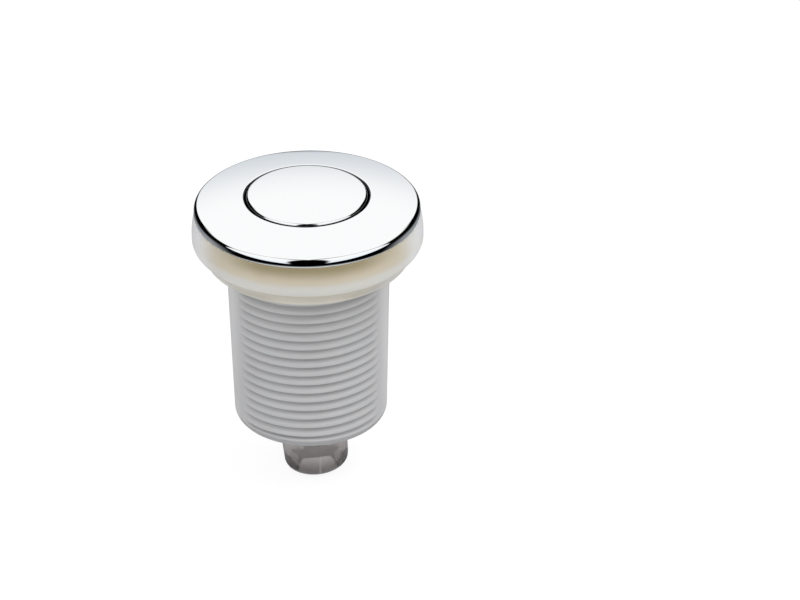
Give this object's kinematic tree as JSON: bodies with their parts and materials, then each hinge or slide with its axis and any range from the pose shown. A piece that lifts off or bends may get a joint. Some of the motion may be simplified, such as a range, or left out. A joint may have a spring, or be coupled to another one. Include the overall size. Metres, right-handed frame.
{
  "type": "air pressure switch",
  "caption": "Round chromed push button on a threaded plastic barrel with a soft gasket. Pressing the cap squeezes a bellows, and the puff of air leaves by the hose socket below.",
  "frame": {"origin": "on the barrel's axis, in the plane of the gasket's underside, where it meets the panel", "axes": "+Z along the barrel's axis, out of the panel towards the finger; -Y is the side that the picture shows, so the barrel's two smooth strips are at +X and -X"},
  "size_m": [0.045, 0.045, 0.0622],
  "materials": {
    "white_plastic": "satin moulded",
    "polished_chrome": "mirror plated",
    "cream_silicone": "soft translucent",
    "clear_plastic": "clear moulded",
    "soft_clear_pvc": "soft clear",
    "spring_steel": "drawn wire",
    "black_rubber": "moulded seal"
  },
  "bodies": {
    "housing": {"threaded_barrel": "white_plastic", "bezel_ring": "polished_chrome", "panel_gasket": "cream_silicone", "guide_ring": "white_plastic", "bellows": "soft_clear_pvc", "return_spring": "spring_steel", "seat_washer": "spring_steel", "hose_connector": "clear_plastic", "connector_seal": "black_rubber"},
    "button": {"push_cap": "polished_chrome", "plunger": "white_plastic", "plunger_seal": "black_rubber"}
  },
  "joints": [
    {"name": "button_press", "type": "slide", "parent": "housing", "child": "button", "axis": [0, 0, -1], "range_m": [0, 0.005], "stiffness_N_per_m": 700, "springref_m": -0.007, "deforming": ["return_spring", "bellows"]}
  ]
}
